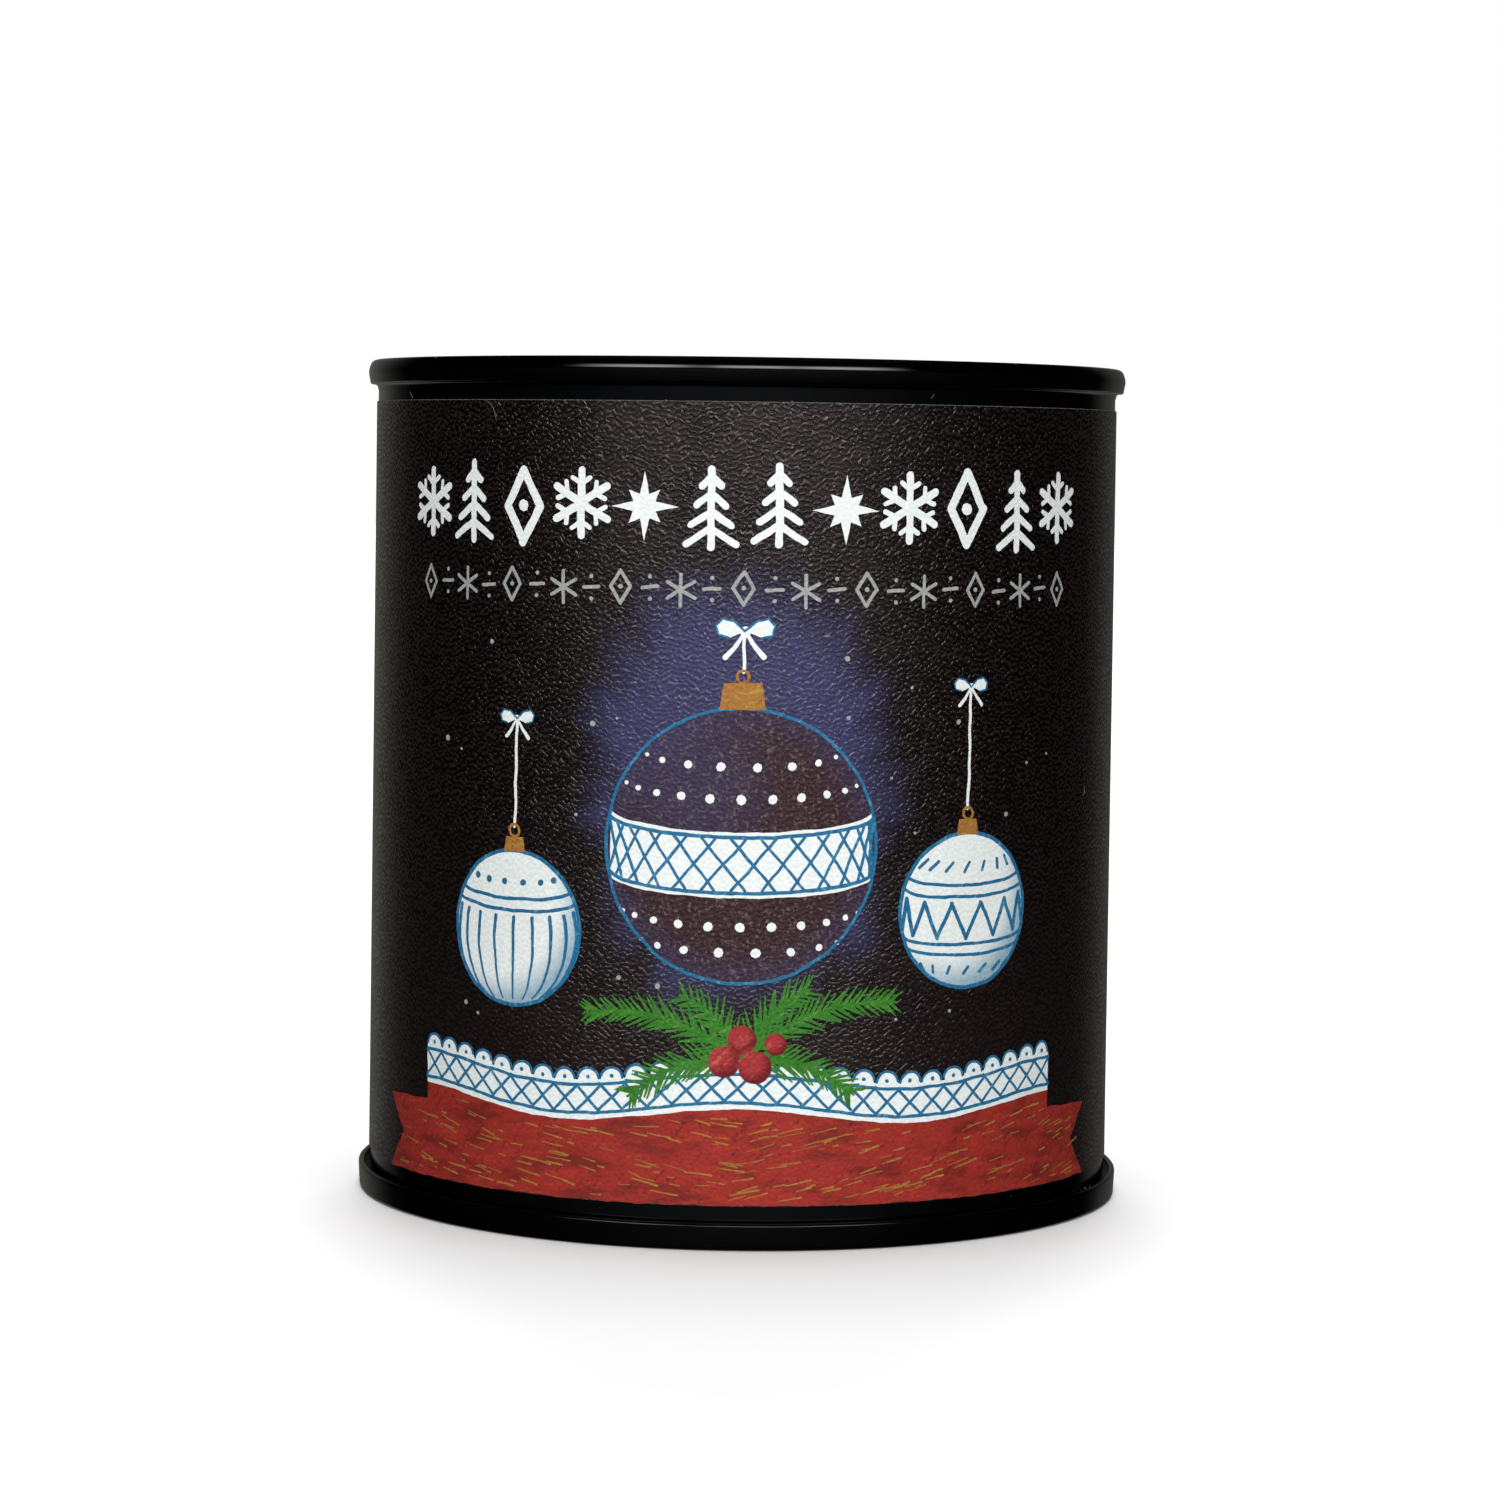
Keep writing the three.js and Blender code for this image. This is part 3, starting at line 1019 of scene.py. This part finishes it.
def bow(pen, edge, centre, size):
    """Two loops, a knot and two tails, with an edge line in another ink."""
    u, v = centre
    for side in (-1, 1):
        loop, tail = ([(u + side * size * a, v + size * b) for a, b in path] for path in BOW)
        pen.area(loop)
        edge.line(loop[:-1], size * 0.11)
        pen.line(tail, size * 0.26, (0.6, 1.0))
    pen.disc(centre, size * 0.27)


PENS = {}  # one for each ink, filled by the first step of the print


class TIN_OT_ornament_rows(bpy.types.Operator):
    """Draws the row of white winter ornaments and the fine row below it"""

    bl_idname = "tin.ornament_rows"
    bl_label = "Ornament rows"

    def execute(self, context):
        noise.seed_set(SEEDS["hand"])
        PENS.update({kind: Ink(crayon) for kind, crayon in CRAYONS.items()})
        white, silver = PENS["white"], PENS["silver"]
        stroke = ORNAMENTS["stroke"]
        height = ORNAMENTS["middle_height"]
        kinds = "flake fir diamond flake star fir fir star flake diamond fir flake".split()
        for i, kind in enumerate(kinds):
            lean = 0.22 * sin(i * 2.4)
            centre = (ORNAMENTS["first"] + i * ORNAMENTS["pitch"], height + lean)
            if kind == "flake":
                snowflake(white, centre, 3.0, stroke * 0.8)
            elif kind == "fir":
                fir(white, centre, 7.1, stroke)
            elif kind == "diamond":
                diamond(white, centre, 3.7, 6.6, stroke * 0.9)
            else:
                star(white, centre, 3.2, 1.2)
        fine = SMALL_ROW["stroke"]
        for i in range(25):
            u = SMALL_ROW["first"] + i * SMALL_ROW["pitch"]
            v = SMALL_ROW["middle_height"] + 0.12 * sin(i * 1.7)
            if i % 4 == 0:
                diamond(silver, (u, v), 1.9, 3.0, fine)
            elif i % 4 == 2:
                snowflake(silver, (u, v), 1.45, fine, barbs=False)
            else:
                silver.line([(u - 0.75, v), (u + 0.75, v + 0.1)], fine)
                silver.disc((u, v + 1.05), fine * 0.62)
                silver.disc((u, v - 1.0), fine * 0.62)
        return {"FINISHED"}


def hang(white, blue, gold):
    """Cap, string and bow of each bauble."""
    for key, string_top, size in STRINGS:
        (u, v), radius = BAUBLES[key]
        half = radius * 0.17
        narrow = half * 0.82
        foot = v + radius - 0.15
        head = foot + half * 1.15
        gold.area([(u - half, foot), (u + half, foot), (u + narrow, head), (u - narrow, head)])
        blue.line([(u - half, foot + 0.15), (u + half, foot + 0.15)], 0.22)
        ring_middle = head + 0.55
        gold.ring((u, ring_middle), 0.55, 0.26)
        white.line([(u, ring_middle + 0.4), (u + 0.15, string_top)], 0.3)
        bow(white, blue, (u + 0.15, string_top), size)


def middle_band(white, blue):
    """White band with a blue lattice round the middle bauble, and dots beside it."""
    low, high = -13, 15
    white.area(round_ball("middle", high) + round_ball("middle", low)[::-1])
    hoops(blue, "middle", (low + 2.2, high - 2.2), 0.34)
    for step in range(-82, 76, 13):
        for first, last in ((low + 3, high - 3), (high - 3, low + 3)):
            blue.line([on_ball("middle", step, first), on_ball("middle", step + 19, last)], 0.27)
    for latitude, spacing in ((29, 15), (-27, 15), (44, 21), (-42, 21)):
        for step in range(-75, 76, spacing):
            white.disc(on_ball("middle", step, latitude), 0.36 * cos(radians(step)) + 0.1)


def fluted(blue):
    """Blue flutes below a double ring on the left bauble."""
    hoops(blue, "left", (22, 31), 0.32)
    for longitude in range(-72, 73, 18):
        flute = [on_ball("left", longitude, 17 - 75 * i / 12) for i in range(13)]
        blue.line(flute, 0.34, (1.1, 0.5))
    for longitude in range(-60, 61, 24):
        blue.disc(on_ball("left", longitude, 45), 0.33)


def zigzag(blue):
    """Blue zigzag between rings on the right bauble."""
    hoops(blue, "right", (-26, -17, 19, 28), 0.3)
    peaks = [on_ball("right", -84 + 14 * i, 14 if i % 2 else -12) for i in range(13)]
    for start, end in zip(peaks, peaks[1:]):
        blue.line([start, end], 0.38)
    for latitude in (43, -42):
        for longitude in range(-66, 67, 22):
            tick = [on_ball("right", longitude + 3 * s, latitude + 4 * s) for s in (-1, 1)]
            blue.line(tick, 0.3)


class TIN_OT_baubles(bpy.types.Operator):
    """Draws the three hanging baubles with their caps, strings and bows"""

    bl_idname = "tin.baubles"
    bl_label = "Baubles"

    def execute(self, context):
        white, blue, plum, gold = (PENS[k] for k in ("white", "blue", "plum", "gold"))
        hang(white, blue, gold)
        plum.disc(*BAUBLES["middle"])
        blue.ring(*BAUBLES["middle"], 0.3)
        middle_band(white, blue)
        for key in ("left", "right"):
            white.disc(*BAUBLES[key])
            blue.ring(*BAUBLES[key], 0.36)
        fluted(blue)
        zigzag(blue)
        return {"FINISHED"}


def dashes(gold):
    """Gold strokes scattered over the ribbon and its tails."""
    chance = random.Random(SEEDS["dashes"])
    for _ in range(DASHES):
        u = chance.uniform(RIBBON["left"] - 5.0, RIBBON["right"] + 5.0)
        reach = ribbon_top(u) - 0.8 if RIBBON["left"] < u < RIBBON["right"] else 6.2
        v = chance.uniform(RIBBON["foot"] + 0.5, reach)
        turn = radians(chance.gauss(-9 if u < 0 else 12, 4))
        size = chance.uniform(0.5, 2.6)
        across, upward = size * cos(turn), size * sin(turn)
        if v + abs(upward) < reach and v - abs(upward) > RIBBON["foot"] + 0.2:
            dash = [(u - across / 2, v - upward / 2), (u + across / 2, v + upward / 2)]
            gold.line(dash, chance.uniform(0.08, 0.24), (0.5, 0.9))


def lace(white, blue, steps):
    """White lace along the ribbon's upper edge: scallops above, a blue lattice in it."""
    width, pitch = LACE["width"], LACE["pitch"]
    left, right = RIBBON["left"], RIBBON["right"]
    white.area([(u, ribbon_top(u) - LACE["sunk"]) for u in steps]
               + [(u, ribbon_top(u) + width) for u in steps[::-1]])
    scallops = round((right - left) / pitch)
    over = [pi * (0.05 + 0.9 * k / 10) for k in range(11)]
    for i in range(scallops):
        u = left + (i + 0.5) * (right - left) / scallops
        v = ribbon_top(u) + width
        white.disc((u, v), pitch * 0.45)
        blue.line(on_circle((u, v), pitch * 0.45, over), 0.24)
        blue.disc((u, v + 0.25), 0.2)
        foot, head = v - width + 0.5, v - 0.55
        for start, end in ((foot, head), (head, foot)):
            blue.line([(u - pitch / 2, start), (u + pitch / 2, end)], 0.27)
    for offset in (0.35, width - 0.45):
        blue.line([(u, ribbon_top(u) + offset) for u in steps], 0.3)


class TIN_OT_ribbon(bpy.types.Operator):
    """Draws the red ribbon with its gold dashes, its folded tails and its lace"""

    bl_idname = "tin.ribbon"
    bl_label = "Ribbon and lace"

    def execute(self, context):
        red, gold, white, blue = (PENS[k] for k in ("red", "gold", "white", "blue"))
        left, right, foot = RIBBON["left"], RIBBON["right"], RIBBON["foot"]
        steps = [left + (right - left) * i / 60 for i in range(61)]
        for side, edge in ((-1, left), (1, right)):
            root, tip = edge - side * 2.6, edge + side * 7.6
            notch = tip - side * 3.0
            low = [(root, foot), (tip, foot), (notch, foot + 3.6)]
            red.area(low + [(tip, foot + 7.0), (root, foot + 7.4)])
        red.area([(u, foot) for u in steps] + [(u, ribbon_top(u)) for u in steps[::-1]])
        dashes(gold)
        lace(white, blue, steps)
        return {"FINISHED"}


def sprig(green, root, tip, chance):
    """A stem that bends up, with needles on both sides that shorten towards the tip."""
    start, end = Vector(root), Vector(tip)
    run = end - start
    bend = Vector((-run.y, run.x)) * (0.12 if run.x > 0 else -0.12)
    last = SPRIGS["pieces"]
    shares = [i / last for i in range(last + 1)]
    stem = [start + run * t + bend * 4 * t * (1 - t) for t in shares]
    green.line(stem, 0.42, (1.2, 0.5))
    count = round(run.length / 0.62)
    for i in range(2, count + 1):
        share = i / count
        spot = share * last
        near, ahead = min(int(spot), last - 1), stem[min(int(spot) + 1, last)]
        here = stem[near].lerp(ahead, spot % 1)
        heading = (ahead - stem[max(int(spot) - 1, 0)]).normalized()
        reach = (3.1 - 1.5 * share) * chance.uniform(0.82, 1.1)
        for side in (-1, 1):
            turn = side * radians(chance.uniform(34, 48))
            needle = Matrix.Rotation(turn, 2) @ heading * reach
            green.line([here, here + needle], 0.4, (1.0, 0.3))


class TIN_OT_sprigs(bpy.types.Operator):
    """Draws the fir sprigs and their berries, and lays every ink on the label"""

    bl_idname = "tin.sprigs"
    bl_label = "Sprigs and inks"

    def execute(self, context):
        green, berry, white, silver = (PENS[k] for k in ("green", "berry", "white", "silver"))
        chance = random.Random(SEEDS["sprigs"])
        for tip in SPRIGS["tips"]:
            sprig(green, SPRIGS["heart"], tip, chance)
        for centre, radius in BERRIES:
            berry.disc(centre, radius)
            white.disc((centre[0] - radius * 0.35, centre[1] + radius * 0.4), radius * 0.17)
        for _ in range(SNOW_DOTS):
            u, v = chance.uniform(-33, 33), chance.uniform(15, 52)
            if all(math.dist((u, v), c) > r + 1.5 for c, r in BAUBLES.values()) and abs(u) > 2:
                silver.disc((u, v), chance.uniform(0.13, 0.3))
        for seed, (kind, crayon) in enumerate(CRAYONS.items(), 1):
            PENS[kind].wrapped(f"print_{kind}", ink(kind, crayon, seed))
        return {"FINISHED"}


# --- dust ---


def strand(points, faces, start, heading, size, curl, thickness):
    """A bent fibre with six sides, laid on a wall from a start of radius, turn and height."""
    steps, sides = 14, 6
    radius, turn, height = start
    along, up = 0.0, 0.0
    base = len(points)
    for step in range(steps + 1):
        share = step / steps
        width = thickness * (0.35 + 0.65 * sin(pi * (0.12 + 0.76 * share)))
        angle = turn + along / radius
        out = Vector((sin(angle), -cos(angle), 0))
        tangent = Vector((cos(angle), sin(angle), 0))
        reach = radius + thickness * (0.2 + abs(sin(3 * share)))
        middle = out * reach + Vector((0, 0, height + up))
        side_way = tangent * -sin(heading) + Vector((0, 0, cos(heading)))
        for side in range(sides):
            swing = 2 * pi * side / sides
            points.append(middle + (out * cos(swing) + side_way * sin(swing)) * width)
        along += size / steps * cos(heading)
        up += size / steps * sin(heading)
        heading += curl / steps * (1 + 0.8 * sin(5 * share))
    for step in range(steps):
        for side in range(sides):
            near, far = base + step * sides, base + (step + 1) * sides
            other = (side + 1) % sides
            faces.append((near + side, far + side, far + other, near + other))
    faces.append(tuple(base + side for side in range(sides)))
    faces.append(tuple(base + steps * sides + side for side in reversed(range(sides))))


class TIN_OT_lint(bpy.types.Operator):
    """Lays a few textile fibres and specks on the tin"""

    bl_idname = "tin.lint"
    bl_label = "Lint"

    def execute(self, context):
        label = context.scene.tin_label
        on_label = label.radius / MM + 0.035
        on_neck = context.scene.tin_metal.body_radius / MM + 0.03
        on_seam = context.scene.tin_metal.top_seam_radius / MM
        in_groove = on_neck + 0.3
        # Radius, degrees from the front, height, heading, length, curl and thickness of each.
        strands = (
            (on_label, -41.4, 77.35, -22, 2.4, -0.85, 0.020),
            (on_neck, -61.6, 78.2, -48, 0.9, 0.2, 0.026),
            (on_neck, 27.5, 78.0, 42, 0.62, 0.3, 0.015),
            (on_label, -38.9, 77.2, -60, 0.45, 0.6, 0.036),
            (on_label, 6.4, 77.3, 80, 0.28, 0.4, 0.040),
            (on_label, -11.6, 77.3, 60, 0.25, 0.9, 0.040),
            (on_seam - 0.42, -52.4, 81.36, 10, 0.16, 0.4, 0.045),
            (in_groove, 64.0, 2.15, 30, 0.22, 0.8, 0.030),
            (in_groove, 66.0, 2.3, 80, 0.16, 0.4, 0.036),
            (in_groove, 68.0, 2.2, 10, 0.20, 0.9, 0.026),
            (on_label, 63.0, 40.5, 20, 1.1, 1.4, 0.020),
            (on_label, 168.0, 58.0, 50, 1.6, 1.8, 0.026),
        )
        points, faces = [], []
        for radius, turn, height, heading, size, curl, thickness in strands:
            start = (radius, radians(turn), height)
            strand(points, faces, start, radians(heading), size, curl, thickness)
        points = [tuple(c * MM for c in point) for point in points]
        piece_of("lint", points, faces, [lint_fibre()], 80)
        return {"FINISHED"}


# --- stage ---

FLOOR_HALF = 4.0  # metres
LENS = {"sensor_width": 36.0, "lens": 101.06, "shift_y": -0.1, "clip_start": 0.02, "clip_end": 20}
KEY_PANEL = ((0, -0.68, 0.325), (0, 0, 0.06), (1.9, 0.27))  # place, target and size, metres
OVERHEAD_SUN = (60, 0)  # width and backward tilt, degrees
REAR_SUN = (30, 50)
CAMERA_PLACE = (0.0, -0.4193, 0.07198)  # metres
CAMERA_TURNS = (-0.00136, pi / 2 - radians(1.88), radians(0.795))  # yaw, pitch and roll


def hang_lamp(name, data, stand, state):
    """Hangs a lamp that no gloss mirrors; it lights the floor alone, or all but the floor."""
    lamp = bpy.data.objects.new(name, data)
    lamp.visible_glossy = False
    lamp.matrix_world = stand
    bpy.context.scene.collection.objects.link(lamp)
    lit = bpy.data.collections.new(f"{name}_floor")
    lit.objects.link(bpy.data.objects["floor"])
    lit.collection_objects[0].light_linking.link_state = state
    lamp.light_linking.receiver_collection = lit


def soft_panel(name, brightness, place, target, size):
    """A panel of light for matt colours, facing a point; brightness is what it would show."""
    data = bpy.data.lights.new(name, "AREA")
    data.shape = "RECTANGLE"
    data.size, data.size_y = size
    data.energy = brightness * pi * size[0] * size[1]
    facing = (Vector(target) - Vector(place)).to_track_quat("-Z", "Y").to_matrix().to_4x4()
    hang_lamp(name, data, Matrix.Translation(place) @ facing, "EXCLUDE")


def soft_sun(name, brightness, width, tilt):
    """Light on the floor alone, which the tin shades: width and backward tilt in degrees."""
    data = bpy.data.lights.new(name, "SUN")
    data.energy = brightness
    data.angle = radians(width)
    hang_lamp(name, data, Matrix.Rotation(radians(-tilt), 4, "X"), "INCLUDE")


def lay_floor(studio):
    """A wide pale floor that the glossy tin doesn't mirror."""
    mix, place = new_recipe("pale_floor")
    speckle = mix.cloud(place, 2.5, 2.0)
    pale = studio.floor_colour
    base = mix.blend(speckle, pale, tuple(0.985 * c for c in pale))
    material = mix.surface(base, 0.9 + speckle * 0.05, speckle * 0.002, FLOOR_IOR)
    mesh = bpy.data.meshes.new("floor")
    corners = [(x * FLOOR_HALF, y * FLOOR_HALF, 0) for x, y in ((-1, -1), (1, -1), (1, 1), (-1, 1))]
    mesh.from_pydata(corners, [], [range(4)])
    mesh.materials.append(material)
    floor = bpy.data.objects.new("floor", mesh)
    floor.visible_glossy = False
    floor.visible_diffuse = False
    bpy.context.scene.collection.objects.link(floor)


def fading(bearing, middle, width):
    """A bell curve over a bearing in radians."""
    away = (bearing - middle) / width
    return (away * away * -1).math("EXPONENT")


def set_surroundings(context, studio):
    """White behind the tin, and a room with a window and pale paper for its gloss to mirror.

    Bearings are in radians from straight ahead or behind, and heights go from -1 to 1.
    """
    world = context.scene.world or bpy.data.worlds.new("studio_room")
    context.scene.world = world
    mix = Recipe(world)
    heading = mix.node("ShaderNodeTexCoord", output=0)
    across, depth, height = mix.split(heading)
    ahead = across.math("ARCTAN2", depth * -1)
    behind = across.math("ARCTAN2", depth)
    glow = fading(ahead, 0.0, 0.85) * height.between(-0.6, 0.0) * height.between(0.09, 0.035)
    sheen = mix.blend(height.between(-0.2, -0.32), (0.105, 0.132, 0.148), (0.165, 0.155, 0.13))
    room = mix.blend(height.between(0.75, 0.95), (0.002, 0.002, 0.002), (0.03, 0.03, 0.032))
    room = mix.blend(glow, room, sheen)
    backdrop = mix.blend(across.between(-0.5, 0.5), (0.15, 0.148, 0.135), (0.088, 0.085, 0.076))
    backdrop = mix.blend(height.between(-0.16, -0.7), backdrop, (0.6, 0.6, 0.57))
    paper = behind.between(-1.0, -0.38) * behind.between(0.86, 0.52) * height.between(0.5, 0.25)
    room = mix.blend(paper, room, backdrop)
    bars = fading(ahead, -0.25, 0.12) * 0.7 + fading(ahead, 0.27, 0.08) * 0.35
    window = ahead.between(-1.02, -0.58) * ahead.between(0.92, 0.55) * (1 - bars)
    window = window * height.between(0.16, 0.26) * height.between(0.52, 0.4)
    room = mix.blend(window, room, [studio.window] * 3)
    rays = mix.node("ShaderNodeLightPath")
    seen, glossy = rays.output("Is Camera Ray"), rays.output("Is Glossy Ray")
    even = [studio.fill] * 3
    colour_of_light = mix.blend(glossy, even, room)
    colour_of_light = mix.blend(seen, colour_of_light, (1.0, 1.0, 1.0))
    sky = mix.node("ShaderNodeBackground", {}, {"Color": colour_of_light, "Strength": 1.0})
    mix.node("ShaderNodeOutputWorld", {}, {"Surface": sky})


def set_camera(context):
    """A long lens a little below the rim, turned and rolled a touch as a hand-held one is."""
    data = bpy.data.cameras.new("camera")
    for setting, value in LENS.items():
        setattr(data, setting, value)
    camera = bpy.data.objects.new("camera", data)
    camera.matrix_world = Matrix.Translation(CAMERA_PLACE)
    for turn, axis in zip(CAMERA_TURNS, "ZXZ"):
        camera.matrix_world @= Matrix.Rotation(turn, 4, axis)
    context.scene.collection.objects.link(camera)
    context.scene.camera = camera


class TIN_OT_stage(bpy.types.Operator):
    """Sets the pale floor, the soft lights and the camera"""

    bl_idname = "tin.stage"
    bl_label = "Studio"

    def execute(self, context):
        studio = context.scene.tin_studio
        lay_floor(studio)
        set_surroundings(context, studio)
        soft_panel("key_light", studio.key, *KEY_PANEL)
        soft_sun("overhead_light", studio.overhead, *OVERHEAD_SUN)
        soft_sun("rear_light", studio.rear, *REAR_SUN)
        set_camera(context)
        context.scene.view_settings.view_transform = "Standard"
        return {"FINISHED"}


# --- panel and registration ---

GROUPS = {
    "tin_metal": TinMetal,
    "tin_label": TinLabel,
    "tin_inks": TinInks,
    "tin_studio": TinStudio,
}
STEPS = (
    TIN_OT_body,
    TIN_OT_top_ring,
    TIN_OT_lid,
    TIN_OT_bottom_end,
    TIN_OT_label,
    TIN_OT_ornament_rows,
    TIN_OT_baubles,
    TIN_OT_ribbon,
    TIN_OT_sprigs,
    TIN_OT_lint,
    TIN_OT_stage,
)


class TIN_PT_steps(bpy.types.Panel):
    """Lists the steps that build the tin, with the settings that they use"""

    bl_label = "Lever-lid tin"
    bl_idname = "TIN_PT_steps"
    bl_space_type = "VIEW_3D"
    bl_region_type = "UI"
    bl_category = "Tin"

    def draw(self, context):
        for step in STEPS:
            self.layout.operator(step.bl_idname)
        for group in GROUPS:
            box = self.layout.box()
            settings = getattr(context.scene, group)
            for name in settings.bl_rna.properties.keys():
                if name not in {"rna_type", "name"}:
                    box.prop(settings, name)


def register():
    """Adds the settings, the steps and the panel to Blender."""
    for group, kind in GROUPS.items():
        bpy.utils.register_class(kind)
        setattr(bpy.types.Scene, group, PointerProperty(type=kind))
    for kind in (*STEPS, TIN_PT_steps):
        bpy.utils.register_class(kind)


def unregister():
    """Takes them out again, the last first."""
    for kind in (TIN_PT_steps, *reversed(STEPS)):
        bpy.utils.unregister_class(kind)
    for group, kind in reversed(GROUPS.items()):
        delattr(bpy.types.Scene, group)
        bpy.utils.unregister_class(kind)


def main():
    """Builds every piece."""
    register()
    for step in STEPS:
        group, name = step.bl_idname.split(".")
        getattr(getattr(bpy.ops, group), name)()
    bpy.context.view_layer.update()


if __name__ == "__main__":
    main()
